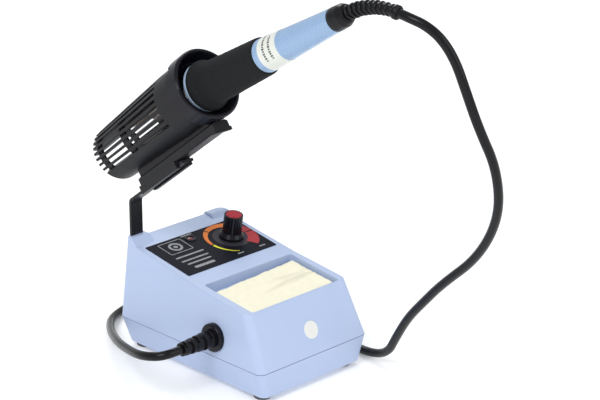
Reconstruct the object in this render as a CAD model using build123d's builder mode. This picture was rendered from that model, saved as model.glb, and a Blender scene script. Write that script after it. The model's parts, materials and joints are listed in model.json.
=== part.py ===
from build123d import *
import os
from math import atan, cos, degrees, pi, radians, sin, tan

# A soldering station: a two-part plastic controller box, a flat steel arm that carries a
# slotted iron holder, the pencil iron, and the cord between the iron and the box.
# Millimetres. Origin on the table under the middle of the box; -Y is the front, +Z is up.

# ---------------------------------------------------------------- driving dimensions
base_width = 100.0  # at the parting line, the widest level
base_depth = 142.0
foot_height = 4.0
parting_height = 22.0
parting_gap = 0.4
wall = 2.5
corner_radius = 5.5
edge_round = 1.4
top_level = 86.0  # above every part of the box
upper_side_lean = 0.10  # inset per millimetre of height
upper_front_lean = 0.45
upper_rear_lean = 0.033
lower_side_lean = 0.25
lower_front_lean = 0.094
lower_rear_lean = 0.217

bend_y = -4.5  # where the sponge tray's slope meets the panel's slope
bend_z = 64.7
tray_angle = 6.8
panel_angle = 9.41

boss_front = 56.5  # the two raised arm sockets at the rear corners
boss_ramp = 5.5
boss_inner_x = 28.5
boss_top = 80.0
spare_boss_top = 78.2

recess_width = 80.0
recess_near = 1.9  # slope distances from the bend
recess_far = 49.0
recess_depth = 8.0
sponge_width = 77.0
sponge_near = 5.5
sponge_far = 48.4
sponge_thickness = 6.3

label_width = 81.0
label_near = 12.7
label_far = 57.9
label_thickness = 0.4
ink = 0.12
dial_x = 20.5
dial_up = 37.5  # slope distance from the bend
dial_outer = 19.6
dial_off = 245.0  # degrees in the panel's plane, anticlockwise from +X
dial_sweep = 305.0
dial_parts = 5
dial_gap = 3.75
pointer_rest = 228.0
light_x = -5.5
light_up = 51.0

knob_radius = 6.6
knob_skirt = 8.7
knob_height = 17.8
shaft_radius = 3.0
bush_radius = 3.5

gland_y = -25.0
gland_z = 35.5
gland_radius = 9.8
relief_end_x = -77.5
relief_radius = 6.4

holder_x = -36.5  # the plane of the arm, the holder and the iron
holder_angle = 37.3  # above the horizontal, rising to the front
strip_width = 10.0
strip_thickness = 2.0
strip_y = 66.0
strip_foot_z = 58.0
strip_length = 68.0  # the inclined part
cage_low_y = 83.8  # the cage axis at its open lower end
cage_low_z = 133.8
cage_length = 117.0
cage_low_radius = 18.9
cage_high_radius = 22.2
collar_start = 86.0
ring_start = 104.0
rib_depth = 3.5
slot_width = 2.3
slot_count = 22
slot_sweep = 270.0  # the slots leave a quarter of the wall whole, over the keel
keel_depth = 31.8  # from the cage axis to the top of the clamped strip's sleeve

iron_angle = 30.2
iron_y = -9.12  # the iron's axis at the holder's mouth
iron_z = 202.93
grip_length = 63.0
handle_end = 132.5
boot_start = 145.0
boot_bend = -38.2  # total turn of the boot, downwards
boot_length = 42.0

cord_diameter = 6.0

# ---------------------------------------------------------------- working planes
slope_x = (1, 0, 0)


def sloped(angle):
    """A plane through the bend line, rising to the rear by angle; its y axis runs up the slope."""
    normal = (0, -sin(radians(angle)), cos(radians(angle)))
    return Plane(origin=(0, bend_y, bend_z), x_dir=slope_x, z_dir=normal)


def on_slope(plane, x, up, height=0.0):
    """The same plane moved to a point on the slope."""
    return Plane(origin=plane.from_local_coords((x, up, height)), x_dir=slope_x, z_dir=plane.z_dir)


def tilted(y, z, angle):
    """A plane across an axis that rises to the front by angle; its z axis is that axis."""
    direction = (0, -cos(radians(angle)), sin(radians(angle)))
    return Plane(origin=(holder_x, y, z), x_dir=slope_x, z_dir=direction)


tray_plane = sloped(tray_angle)
panel_plane = sloped(panel_angle)
dial_plane = on_slope(panel_plane, dial_x, dial_up, label_thickness)
dial_side = dial_plane.rotated((90, 0, 0))
dial_axis = Axis(dial_plane.origin, dial_plane.z_dir)
light_plane = on_slope(panel_plane, light_x, light_up)
light_axis = Axis(light_plane.origin, light_plane.z_dir)
cage_plane = tilted(cage_low_y, cage_low_z, holder_angle)
cage_side = cage_plane.rotated((90, 0, 0))
cage_axis = Axis(cage_plane.origin, cage_plane.z_dir)
iron_plane = tilted(iron_y, iron_z, iron_angle)
iron_side = iron_plane.rotated((90, 0, 0))
iron_axis = Axis(iron_plane.origin, iron_plane.z_dir)


# ---------------------------------------------------------------- shared shapes
def save(piece, name):
    """Label a finished piece and write its STEP file."""
    piece.part.label = name
    export_step(piece.part, f"parts/{name}.step")


def outline(height):
    """Half width, front y and rear y of the box's walls at a height."""
    rise = height - parting_height
    if rise >= 0:
        leans = (upper_side_lean, upper_front_lean, upper_rear_lean)
    else:
        leans = (lower_side_lean, lower_front_lean, lower_rear_lean)
    side, front, rear = (abs(rise) * lean for lean in leans)
    return base_width / 2 - side, -base_depth / 2 + front, base_depth / 2 - rear


def box_block(low, high, inset=0.0):
    """The solid between two levels of the box's walls, moved in by inset."""
    with BuildPart() as block:
        for height in (low, high):
            half, front, rear = outline(height)
            with BuildSketch(Plane.XY.offset(height)):
                with Locations((0, (front + rear) / 2)):
                    RectangleRounded(
                        2 * (half - inset), rear - front - 2 * inset, corner_radius - inset * 0.9
                    )
        loft(ruled=True)
    return block.part


def roof_block(drop=0.0):
    """Everything under the two sloped top faces, lowered by drop."""
    reach = base_depth
    low_front = bend_z - drop - reach * tan(radians(tray_angle))
    high_rear = bend_z - drop + reach * tan(radians(panel_angle))
    with BuildPart() as block:
        with BuildSketch(Plane.YZ):
            with BuildLine():
                Polyline(
                    (bend_y - reach, 0),
                    (bend_y - reach, low_front),
                    (bend_y, bend_z - drop),
                    (bend_y + reach, high_rear),
                    (bend_y + reach, 0),
                    close=True,
                )
            make_face()
        extrude(amount=base_width, both=True)
    return block.part


def boss_block(top, side):
    """A raised corner pad at the rear; side is -1 for the left and 1 for the right."""
    ramp_top = boss_front + boss_ramp
    with BuildPart() as block:
        with BuildSketch(Plane.YZ.offset(side * boss_inner_x)):
            with BuildLine():
                Polyline(
                    (boss_front, top - boss_ramp),
                    (ramp_top, top),
                    (base_depth, top),
                    (base_depth, parting_height),
                    (boss_front, parting_height),
                    close=True,
                )
            make_face()
        extrude(amount=side * base_width / 2)
        add(box_block(parting_height + parting_gap, top_level), mode=Mode.INTERSECT)
        fillet(block.faces().sort_by(Axis.Z)[-1].edges(), edge_round)
    return block.part


def turned(side_plane, axis, points):
    """A solid of revolution: points are (radius, distance along the axis)."""
    with BuildPart() as solid:
        with BuildSketch(side_plane):
            with BuildLine():
                Polyline(*points, close=True)
            make_face()
        revolve(axis=axis)
    return solid.part


os.makedirs("parts", exist_ok=True)

# ---------------------------------------------------------------- lower shell
floor_top = foot_height + wall
tower_x = 76.0
tower_y = 98.0
tower_top = 14.0
screw_radius = 1.5
head_radius = 3.0
foot_x = 74.0
foot_y = 118.0
foot_radius = 6.0
foot_plug = 1.2
board_low = 12.0
board_thickness = 1.6
board_width = 58.0
board_depth = 52.0
board_y = 22.0
board_hole_x = 50.0
board_hole_y = 44.0
tongue_height = 2.0
tongue_inset = 1.4

with BuildPart() as lower_shell:
    add(box_block(foot_height, parting_height))
    add(box_block(floor_top, parting_height + 1, wall), mode=Mode.SUBTRACT)
    with BuildSketch(Plane.XY.offset(foot_height)):
        with GridLocations(tower_x, tower_y, 2, 2):
            Circle(4.6)
    extrude(amount=tower_top - foot_height)
    with BuildSketch(Plane.XY.offset(foot_height)):
        with Locations((0, board_y)):
            with GridLocations(board_hole_x, board_hole_y, 2, 2):
                Circle(3.0)
    extrude(amount=board_low - foot_height)
    add(box_block(parting_height - 1, parting_height + tongue_height, tongue_inset))
    add(box_block(parting_height - 2, parting_height + 5, wall), mode=Mode.SUBTRACT)
    with GridLocations(tower_x, tower_y, 2, 2):
        Cylinder(1.8, 60, mode=Mode.SUBTRACT)
        Cylinder(head_radius + 0.3, 2 * 8.0, mode=Mode.SUBTRACT)
    with GridLocations(foot_x, foot_y, 2, 2):
        Cylinder(foot_radius, 2 * (foot_height + foot_plug), mode=Mode.SUBTRACT)
    with Locations((0, board_y, board_low)):
        with GridLocations(board_hole_x, board_hole_y, 2, 2):
            Cylinder(1.25, 10, mode=Mode.SUBTRACT)
save(lower_shell, "lower_shell")

with BuildPart() as rubber_feet:
    with BuildSketch(Plane.XY):
        with GridLocations(foot_x, foot_y, 2, 2):
            Circle(foot_radius)
    extrude(amount=foot_height + foot_plug)
    chamfer(rubber_feet.edges().group_by(Axis.Z)[0], 0.6)
save(rubber_feet, "rubber_feet")

with BuildPart() as case_screws:
    with BuildSketch(Plane.XY.offset(6.0)):
        with GridLocations(tower_x, tower_y, 2, 2):
            Circle(head_radius)
    extrude(amount=2.0)
    with BuildSketch(Plane.XY.offset(8.0)):
        with GridLocations(tower_x, tower_y, 2, 2):
            Circle(screw_radius)
    extrude(amount=18.0)
    with BuildSketch(Plane.XY.offset(6.0)):
        with GridLocations(tower_x, tower_y, 2, 2):
            Rectangle(4.0, 0.8)
            Rectangle(0.8, 4.0)
    extrude(amount=1.0, mode=Mode.SUBTRACT)
save(case_screws, "case_screws")

# ---------------------------------------------------------------- upper shell
tub_wall = 2.2
socket_width = 16.0
relief_bore = 4.2
mains_x = 24.0
mains_z = 34.0
mains_bore = 4.0

with BuildPart() as upper_block:
    add(roof_block())
    add(box_block(parting_height + parting_gap, top_level), mode=Mode.INTERSECT)
    rim = upper_block.edges().filter_by(lambda edge: edge.center().Z > 55)
    fillet(rim.filter_by(lambda edge: edge.geom_type != GeomType.LINE), edge_round)
    add(boss_block(boss_top, -1))
    add(boss_block(spare_boss_top, 1))

with BuildPart() as cavity:
    add(box_block(parting_height, top_level, wall))
    add(roof_block(wall), mode=Mode.INTERSECT)
    with BuildSketch(tray_plane.offset(-recess_depth - tub_wall)):
        with Locations((0, -(recess_near + recess_far) / 2)):
            Rectangle(recess_width + 2 * tub_wall, recess_far - recess_near + 2 * tub_wall)
    extrude(amount=40, mode=Mode.SUBTRACT)
    with Locations((holder_x, 68.0, 68.0)):
        Box(socket_width, 16.0, 24.0, mode=Mode.SUBTRACT)

with BuildPart() as upper_pillars:
    with BuildSketch(Plane.XY.offset(tower_top)):
        with GridLocations(tower_x, tower_y, 2, 2):
            Circle(4.0)
    extrude(amount=70)
    add(roof_block(1.0), mode=Mode.INTERSECT)
    with BuildSketch(tray_plane.offset(-recess_depth - 1)):
        with Locations((0, -(recess_near + recess_far) / 2)):
            Rectangle(recess_width + 20, recess_far - recess_near + 10)
    extrude(amount=40, mode=Mode.SUBTRACT)

with BuildPart() as upper_shell:
    add(upper_block.part)
    add(cavity.part, mode=Mode.SUBTRACT)
    add(
        box_block(parting_height, parting_height + tongue_height + 0.3, tongue_inset - 0.15),
        mode=Mode.SUBTRACT,
    )
    add(upper_pillars.part)
    with GridLocations(tower_x, tower_y, 2, 2):
        Cylinder(screw_radius + 0.05, 2 * 28.0, mode=Mode.SUBTRACT)
    with BuildSketch(tray_plane.offset(-recess_depth)):
        with Locations((0, -(recess_near + recess_far) / 2)):
            RectangleRounded(recess_width, recess_far - recess_near, 2.0)
    extrude(amount=30, mode=Mode.SUBTRACT)
    with BuildSketch(dial_plane.offset(-6)):
        Circle(bush_radius + 0.1)
    extrude(amount=12, mode=Mode.SUBTRACT)
    with BuildSketch(light_plane.offset(-6)):
        Circle(2.6)
    extrude(amount=12, mode=Mode.SUBTRACT)
    with Locations((holder_x, strip_y, strip_foot_z + 20)):
        Box(strip_width + 0.2, strip_thickness + 0.2, 40.0, mode=Mode.SUBTRACT)
    with BuildSketch(Plane(origin=(-40, gland_y, gland_z), z_dir=(-1, 0, 0))):
        Circle(relief_bore + 1.2)
    extrude(amount=20, mode=Mode.SUBTRACT)
    with BuildSketch(Plane(origin=(mains_x, 60, mains_z), z_dir=(0, 1, 0))):
        Circle(mains_bore + 1.6)
    extrude(amount=20, mode=Mode.SUBTRACT)
save(upper_shell, "upper_shell")

with BuildPart() as sponge:
    with BuildSketch(tray_plane.offset(-recess_depth)):
        with Locations((0, -(sponge_near + sponge_far) / 2)):
            RectangleRounded(sponge_width, sponge_far - sponge_near, 1.5)
    extrude(amount=sponge_thickness)
save(sponge, "sponge")

# ---------------------------------------------------------------- panel graphics and light
with BuildPart() as face_label:
    with BuildSketch(panel_plane):
        with Locations((0, (label_near + label_far) / 2)):
            RectangleRounded(label_width, label_far - label_near, 0.8)
        with Locations((dial_x, dial_up)):
            Circle(bush_radius + 0.1, mode=Mode.SUBTRACT)
        with Locations((light_x, light_up)):
            Circle(3.0, mode=Mode.SUBTRACT)
    extrude(amount=label_thickness)
save(face_label, "face_label")


def dial_inner(fraction):
    """Inner radius of the heat band, which widens from off to full heat."""
    return dial_outer - 0.4 - 8.2 * fraction


def dial_point(radius, fraction):
    """A point of the dial at a fraction of the knob's sweep."""
    angle = radians(dial_off - dial_sweep * fraction)
    return radius * cos(angle), radius * sin(angle)


segment_sweep = (dial_sweep - dial_gap * (dial_parts - 1)) / dial_parts
with BuildPart() as dial_segments:
    with BuildSketch(dial_plane):
        for number in range(dial_parts):
            start = number * (segment_sweep + dial_gap) / dial_sweep
            end = start + segment_sweep / dial_sweep
            middle = (start + end) / 2
            with BuildLine():
                outer_arc = ThreePointArc(*(dial_point(dial_outer, f) for f in (start, middle, end)))
                inner_arc = ThreePointArc(
                    *(dial_point(dial_inner(f), f) for f in (start, middle, end))
                )
                Line(outer_arc @ 0, inner_arc @ 0)
                Line(outer_arc @ 1, inner_arc @ 1)
            make_face()
    extrude(amount=ink)
save(dial_segments, "dial_segments")

bars = ((34.5, 25, 1.5), (29.0, 24, 1.5), (24.5, 21, 1.5), (19.0, 18, 2.6))
with BuildPart() as label_marks:
    with BuildSketch(panel_plane.offset(label_thickness)):
        with Locations((-22.0, 47.5)):
            RectangleRounded(20.0, 15.5, 1.0)
            RectangleRounded(18.8, 14.3, 0.6, mode=Mode.SUBTRACT)
            Circle(5.2)
            Circle(3.4, mode=Mode.SUBTRACT)
            Circle(1.6)
        for bar_up, bar_length, bar_height in bars:
            with Locations((-20.5, bar_up)):
                SlotOverall(bar_length, bar_height)
        with Locations((-5.0, 57.0 - 0.8)):
            SlotOverall(10.0, 1.0)
        with Locations((11.0, 17.2), (31.0, 17.2)):
            SlotOverall(5.5, 1.2)
    extrude(amount=ink)
save(label_marks, "label_marks")

with BuildPart() as led_bezel:
    with BuildSketch(light_plane.offset(label_thickness)):
        Circle(4.0)
        Circle(2.6, mode=Mode.SUBTRACT)
    extrude(amount=0.8)
    chamfer(led_bezel.edges().group_by(light_axis)[-1], 0.3)
save(led_bezel, "led_bezel")

with BuildPart() as power_light:
    with BuildSketch(light_plane.offset(-6)):
        Circle(2.45)
    extrude(amount=7.0)
    fillet(power_light.edges().group_by(light_axis)[-1], 1.5)
    with BuildSketch(light_plane.offset(-7)):
        Circle(2.9)
    extrude(amount=1.0)
save(power_light, "power_light")

sticker_z = 37.3
sticker_x = 2.6
front_normal = Vector(0, -1, upper_front_lean).normalized()
front_y = outline(sticker_z)[1]
with BuildPart() as round_sticker:
    with BuildSketch(Plane(origin=(sticker_x, front_y, sticker_z), x_dir=(1, 0, 0), z_dir=front_normal)):
        Circle(6.0)
    extrude(amount=0.15)
save(round_sticker, "round_sticker")

# ---------------------------------------------------------------- knob and potentiometer
pointer_dir = (cos(radians(pointer_rest)), sin(radians(pointer_rest)))
knob_gap = 0.7
cap_depth = 1.0
cap_radius = 5.5
grip_start = knob_gap + 4.2
flute_count = 20
flute_radius = 1.35
flute_depth = 0.25
shaft_top = knob_height - 4
nut_room = 6.6
pointer_length = 1.6
pointer_width = 0.8
pointer_middle = knob_radius - 0.6

with BuildPart() as knob:
    add(
        turned(
            dial_side,
            dial_axis,
            [
                (0, knob_gap),
                (knob_skirt, knob_gap),
                (knob_skirt, knob_gap + 1.6),
                (knob_radius + 0.5, grip_start),
                (0, grip_start),
            ],
        )
    )
    with BuildSketch(dial_plane.offset(grip_start)):
        Circle(knob_radius)
        with PolarLocations(knob_radius + flute_radius - flute_depth, flute_count):
            Circle(flute_radius, mode=Mode.SUBTRACT)
        with Locations((pointer_middle * pointer_dir[0], pointer_middle * pointer_dir[1])):
            Rectangle(pointer_length + 0.4, pointer_width, rotation=pointer_rest, mode=Mode.SUBTRACT)
    extrude(amount=knob_height - grip_start)
    with BuildSketch(dial_plane.offset(knob_height - cap_depth)):
        Circle(cap_radius)
    extrude(amount=cap_depth + 1, mode=Mode.SUBTRACT)
    with BuildSketch(dial_plane):
        Circle(shaft_radius)
    extrude(amount=shaft_top, mode=Mode.SUBTRACT)
    with BuildSketch(dial_plane):
        Circle(nut_room)
    extrude(amount=knob_gap + 2.4, mode=Mode.SUBTRACT)
save(knob, "knob")

with BuildPart() as pointer_line:
    with BuildSketch(dial_plane.offset(grip_start)):
        with Locations((pointer_middle * pointer_dir[0], pointer_middle * pointer_dir[1])):
            Rectangle(pointer_length, pointer_width, rotation=pointer_rest)
    extrude(amount=knob_height - grip_start - 0.4)
save(pointer_line, "pointer_line")

with BuildPart() as knob_cap:
    with BuildSketch(dial_plane.offset(knob_height - cap_depth)):
        Circle(cap_radius)
    extrude(amount=cap_depth + 0.2)
    chamfer(knob_cap.edges().group_by(dial_axis)[-1], 0.2)
    with BuildSketch(dial_plane):
        with Locations((pointer_middle * pointer_dir[0], pointer_middle * pointer_dir[1])):
            Rectangle(pointer_length + 1.6, pointer_width + 0.1, rotation=pointer_rest)
    extrude(amount=knob_height + 2, mode=Mode.SUBTRACT)
save(knob_cap, "knob_cap")

with BuildPart() as pot_shaft:
    with BuildSketch(dial_plane.offset(-13)):
        Circle(shaft_radius)
    extrude(amount=13 + shaft_top - 0.5)
save(pot_shaft, "pot_shaft")

panel_under = -label_thickness - wall / cos(radians(panel_angle))
with BuildPart() as pot_body:
    with BuildSketch(dial_plane.offset(panel_under - 9)):
        Circle(8.4)
        with Locations((0, -9)):
            Rectangle(12, 8)
    extrude(amount=9)
    with BuildSketch(dial_plane.offset(panel_under)):
        Circle(bush_radius)
    extrude(amount=-panel_under + 2.6)
    with BuildSketch(dial_plane.offset(-20)):
        Circle(shaft_radius + 0.05)
    extrude(amount=40, mode=Mode.SUBTRACT)
    with BuildSketch(dial_plane.offset(panel_under - 3)):
        with Locations((-4, -14.5), (0, -14.5), (4, -14.5)):
            Rectangle(1.4, 4)
    extrude(amount=0.6)
save(pot_body, "pot_body")

with BuildPart() as pot_nut:
    with BuildSketch(dial_plane):
        RegularPolygon(5.8, 6)
        Circle(bush_radius, mode=Mode.SUBTRACT)
    extrude(amount=2.0)
save(pot_nut, "pot_nut")

# ---------------------------------------------------------------- circuit board
board_top = board_low + board_thickness
with BuildPart() as circuit_board:
    with BuildSketch(Plane.XY.offset(board_low)):
        with Locations((0, board_y)):
            RectangleRounded(board_width, board_depth, 2)
            with GridLocations(board_hole_x, board_hole_y, 2, 2):
                Circle(1.6, mode=Mode.SUBTRACT)
    extrude(amount=board_thickness)
save(circuit_board, "circuit_board")

with BuildPart() as board_screws:
    with BuildSketch(Plane.XY.offset(board_top)):
        with Locations((0, board_y)):
            with GridLocations(board_hole_x, board_hole_y, 2, 2):
                Circle(2.6)
    extrude(amount=1.8)
    with BuildSketch(Plane.XY.offset(board_top - 5.5)):
        with Locations((0, board_y)):
            with GridLocations(board_hole_x, board_hole_y, 2, 2):
                Circle(1.25)
    extrude(amount=5.5)
save(board_screws, "board_screws")

triac_x = -8.0
triac_y = 40.0
triac_width = 10.0
triac_thickness = 4.4
triac_height = 9.0
pin_length = 4.0
pin_pitch = 2.5
tab_thickness = 1.3
tab_height = 6.0
sink_face = triac_y + triac_thickness / 2
triac_top = board_top + pin_length + triac_height
sink_height = 20.0
sink_thickness = 2.0
fin_pitch = 5.5
fin_thickness = 1.6
fin_depth = 8.0
with BuildPart() as triac:
    with Locations((triac_x, triac_y, board_top + pin_length + triac_height / 2)):
        Box(triac_width, triac_thickness, triac_height)
    with Locations((triac_x, sink_face - tab_thickness / 2, triac_top + tab_height / 2)):
        Box(triac_width, tab_thickness, tab_height)
    for pin_x in (triac_x - pin_pitch, triac_x, triac_x + pin_pitch):
        with Locations((pin_x, triac_y, board_top + pin_length / 2)):
            Box(0.9, 0.6, pin_length)
save(triac, "triac")

with BuildPart() as heat_sink:
    with Locations((triac_x, sink_face + sink_thickness / 2, board_top + sink_height / 2)):
        Box(4 * fin_pitch + fin_thickness, sink_thickness, sink_height)
    for fin in range(-2, 3):
        with Locations((triac_x + fin * fin_pitch, sink_face + fin_depth / 2, board_top + sink_height / 2)):
            Box(fin_thickness, fin_depth, sink_height)
    chamfer(heat_sink.edges().filter_by(Axis.X).group_by(Axis.Z)[-1], 0.3)
save(heat_sink, "heat_sink")

capacitor_height = 13.0
with BuildPart() as capacitor:
    with Locations((15, 38, board_top + capacitor_height / 2)):
        Box(18, 8, capacitor_height)
    fillet(capacitor.edges().filter_by(Axis.Z), 1.2)
    fillet(capacitor.edges().group_by(Axis.Z)[-1], 0.8)
save(capacitor, "capacitor")

choke_radius = 9.0
choke_bore = 4.0
with BuildPart() as choke:
    with BuildSketch(Plane.XZ.offset(-16)):
        with Locations((-14, board_top + choke_radius)):
            Circle(choke_radius)
            Circle(choke_bore, mode=Mode.SUBTRACT)
    extrude(amount=8)
    fillet(choke.edges(), 1.5)
save(choke, "choke")

fuse_x = 15.0
fuse_y = 26.0
fuse_up = board_top + 5.0
fuse_radius = 2.5
fuse_length = 20.0
clip_height = 5.2
clip_reach = 7.0
with BuildPart() as fuse:
    with BuildSketch(Plane.YZ.offset(fuse_x - fuse_length / 2)):
        with Locations((fuse_y, fuse_up)):
            Circle(fuse_radius)
    extrude(amount=fuse_length)
save(fuse, "fuse")

with BuildPart() as fuse_clips:
    for side in (-1, 1):
        with Locations((fuse_x + side * clip_reach, fuse_y, board_top + clip_height / 2)):
            Box(4, 6.8, clip_height)
    with BuildSketch(Plane.YZ.offset(fuse_x - fuse_length / 2 - 1)):
        with Locations((fuse_y, fuse_up)):
            Circle(fuse_radius)
    extrude(amount=fuse_length + 2, mode=Mode.SUBTRACT)
save(fuse_clips, "fuse_clips")

block_x = 12.0
block_y = 6.0
block_depth = 9.0
block_height = 10.0
pole_count = 4
pole_pitch = 5.0
with BuildPart() as terminal_block:
    with Locations((block_x, block_y, board_top + block_height / 2)):
        Box(pole_count * pole_pitch, block_depth, block_height)
    for pole in range(pole_count):
        pole_x = block_x + (pole - (pole_count - 1) / 2) * pole_pitch
        with Locations((pole_x, block_y, board_top + block_height - 1)):
            Cylinder(1.7, 3, mode=Mode.SUBTRACT)
        with Locations((pole_x, block_y - block_depth / 2 + 1, board_top + 4)):
            Box(3, 4, 4, mode=Mode.SUBTRACT)
save(terminal_block, "terminal_block")

# ---------------------------------------------------------------- glands
gland_plane = Plane(origin=(-46, gland_y, gland_z), x_dir=(0, -1, 0), z_dir=(-1, 0, 0))
gland_side = Plane(origin=(-46, gland_y, gland_z), x_dir=(0, -1, 0), z_dir=(0, 0, -1))
gland_axis = Axis(gland_plane.origin, gland_plane.z_dir)
flange_face = 6.0
relief_length = -46 - relief_end_x

with BuildPart() as gland_flange:
    with BuildSketch(gland_plane):
        Circle(gland_radius)
        Circle(relief_bore + 1.2, mode=Mode.SUBTRACT)
    extrude(amount=flange_face)
    fillet(gland_flange.edges().group_by(Axis.X)[0].sort_by(SortBy.RADIUS)[-1], 1.4)
    add(box_block(parting_height, top_level), mode=Mode.SUBTRACT)
save(gland_flange, "gland_flange")

barb = 7.6
neck_radius = relief_bore + 1.2
relief_points = [(0, -3.5), (barb, -3.5), (barb, -1), (neck_radius, -1), (neck_radius, flange_face)]
ring_count = 5
ring_step = (relief_length - flange_face) / ring_count
for ring in range(ring_count):
    ring_radius = relief_radius - 1.5 * ring / (ring_count - 1)
    low = flange_face + ring * ring_step
    neck = ring_radius - 1.1
    relief_points += [(ring_radius, low + 0.15), (ring_radius, low + ring_step - 1.5)]
    relief_points += [(neck, low + ring_step - 1.2), (neck, low + ring_step)]
relief_points += [(0, relief_length)]

with BuildPart() as strain_relief:
    add(turned(gland_side, gland_axis, relief_points))
save(strain_relief, "strain_relief")

mains_y = outline(mains_z)[2]
with BuildPart() as mains_gland:
    with BuildSketch(Plane(origin=(mains_x, mains_y - wall, mains_z), z_dir=(0, 1, 0))):
        Circle(mains_bore + 1.5)
    extrude(amount=wall + 0.35)
    with BuildSketch(Plane(origin=(mains_x, mains_y + 0.35, mains_z), z_dir=(0, 1, 0))):
        Circle(mains_bore + 3.4)
    extrude(amount=2.4)
    fillet(mains_gland.edges().group_by(Axis.Y)[-1], 0.9)
    with BuildSketch(Plane(origin=(mains_x, mains_y - 10, mains_z), z_dir=(0, 1, 0))):
        Circle(mains_bore)
    extrude(amount=20, mode=Mode.SUBTRACT)
save(mains_gland, "mains_gland")

# ---------------------------------------------------------------- arm and iron holder
strip_drop = keel_depth + 0.6 + strip_thickness / 2  # from the cage axis to the strip's middle
down = sin(radians(holder_angle))
across = cos(radians(holder_angle))
bend_height = cage_low_z - strip_drop / across + (cage_low_y - strip_y) * down / across
strip_end = (
    holder_x,
    strip_y - strip_length * across,
    bend_height + strip_length * down,
)

with BuildPart() as holder_arm:
    with BuildLine() as strip_path:
        FilletPolyline(
            (holder_x, strip_y, strip_foot_z),
            (holder_x, strip_y, bend_height),
            strip_end,
            radius=4.0,
        )
    with BuildSketch(Plane(origin=strip_path.line @ 0, x_dir=(1, 0, 0), z_dir=(0, 0, 1))):
        Rectangle(strip_width, strip_thickness)
    sweep()
save(holder_arm, "holder_arm")

hoop_thickness = 1.6
hoop_middle = 37.0
hoop_width = 6.0
end_hoop_low = 3.0
end_hoop_high = 8.0


def cage_radius(distance):
    """Outer radius of the ribs at a distance from the open lower end."""
    return cage_low_radius + (cage_high_radius - cage_low_radius) * distance / collar_start


def hoop_radius(distance):
    """Outer radius of a hoop that joins the ribs on their inside."""
    return cage_radius(distance) - rib_depth + hoop_thickness


def slot_cut(low, high, inner_radius):
    """All the slots between the ribs over one stretch, outwards from inner_radius."""
    depth = 40 - inner_radius
    with BuildPart() as cut:
        with BuildSketch(cage_plane.offset(low)):
            with PolarLocations(inner_radius + depth / 2, slot_count, 90 - slot_sweep / 2, slot_sweep):
                Rectangle(depth, slot_width)
        extrude(amount=high - low)
    return cut.part


collar_inner = cage_high_radius - rib_depth
cage_flare = degrees(atan((cage_high_radius - cage_low_radius) / collar_start))
ring_radius_out = 24.6
ring_room = 0.2
rail_start = 17.0
rail_length = 94.0
rail_half = 6.5
web_half = 3.5
rail_top = -24.0  # the rail hangs on a web under the ribbed barrel
rail_bottom = 0.8 - keel_depth
tab_length = 2.4
sleeve_width = 14.0
sleeve_height = 5.6
sleeve_length = 45.0
middle_low = hoop_middle - hoop_width / 2
middle_high = hoop_middle + hoop_width / 2
with BuildPart() as holder_cage:
    add(
        turned(
            cage_side,
            cage_axis,
            [
                (cage_low_radius - rib_depth, 0),
                (cage_low_radius, 0),
                (cage_high_radius, collar_start),
                (cage_high_radius, ring_start),
                (collar_inner, ring_start),
                (collar_inner, collar_start),
            ],
        )
    )
    with BuildSketch(cage_plane.offset(rail_start)):
        with BuildLine():
            Polyline(
                (web_half, -14),
                (web_half, rail_top),
                (rail_half, rail_top - 1.5),
                (rail_half, rail_bottom + 0.8),
                (rail_half - 1, rail_bottom),
                (1 - rail_half, rail_bottom),
                (-rail_half, rail_bottom + 0.8),
                (-rail_half, rail_top - 1.5),
                (-web_half, rail_top),
                (-web_half, -14),
                close=True,
            )
        make_face()
    extrude(amount=rail_length)
    with BuildSketch(cage_plane.offset(rail_start + rail_length - tab_length)):
        with Locations((0, rail_bottom)):
            Rectangle(2 * rail_half + 2, 2.4)
    extrude(amount=tab_length)
    with BuildSketch(cage_plane.offset(rail_start - 2)):
        with Locations((0, -keel_depth - 1.0)):
            Rectangle(sleeve_width, sleeve_height)
    extrude(amount=sleeve_length)
    with BuildSketch(cage_plane.offset(rail_start - 3)):
        with Locations((0, -keel_depth - 1.6)):
            Rectangle(strip_width + 0.2, strip_thickness + 0.2)
        with Locations((0, -keel_depth - 4)):
            Rectangle(7.0, 4.0)
    extrude(amount=sleeve_length + 2, mode=Mode.SUBTRACT)
    with BuildSketch(cage_plane.offset(-1)):
        Circle(cage_low_radius - rib_depth)
    extrude(amount=ring_start + 20, taper=-cage_flare, mode=Mode.SUBTRACT)
    with BuildSketch(cage_plane.offset(ring_start)):
        Circle(ring_radius_out + ring_room)
    extrude(amount=20, mode=Mode.SUBTRACT)
    add(slot_cut(-1, end_hoop_low, 10), mode=Mode.SUBTRACT)
    add(slot_cut(-1, end_hoop_high + 1, hoop_radius(end_hoop_low + 2)), mode=Mode.SUBTRACT)
    add(slot_cut(end_hoop_high, middle_low, 10), mode=Mode.SUBTRACT)
    add(slot_cut(middle_low - 1, middle_high + 1, hoop_radius(hoop_middle)), mode=Mode.SUBTRACT)
    add(slot_cut(middle_high, collar_start, 10), mode=Mode.SUBTRACT)
save(holder_cage, "holder_cage")

throat_radius = 9.0  # the funnel narrows behind the iron's guard
with BuildPart() as funnel_ring:
    add(
        turned(
            cage_side,
            cage_axis,
            [
                (throat_radius, ring_start - 4),
                (collar_inner - 1, ring_start),
                (cage_high_radius - 0.6, ring_start),
                (cage_high_radius - 0.6, ring_start + 1),
                (ring_radius_out, ring_start + 1),
                (ring_radius_out, cage_length - 1),
                (ring_radius_out - 0.8, cage_length),
                (ring_radius_out - 2.2, cage_length),
                (collar_inner, ring_start + 3),
                (throat_radius, ring_start - 2.2),
            ],
        )
    )
    with BuildSketch(cage_plane.offset(ring_start)):
        with PolarLocations(ring_radius_out, 6, 15):
            Rectangle(1.6, 5.0)
    extrude(amount=4.0, mode=Mode.SUBTRACT)
save(funnel_ring, "funnel_ring")

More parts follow.
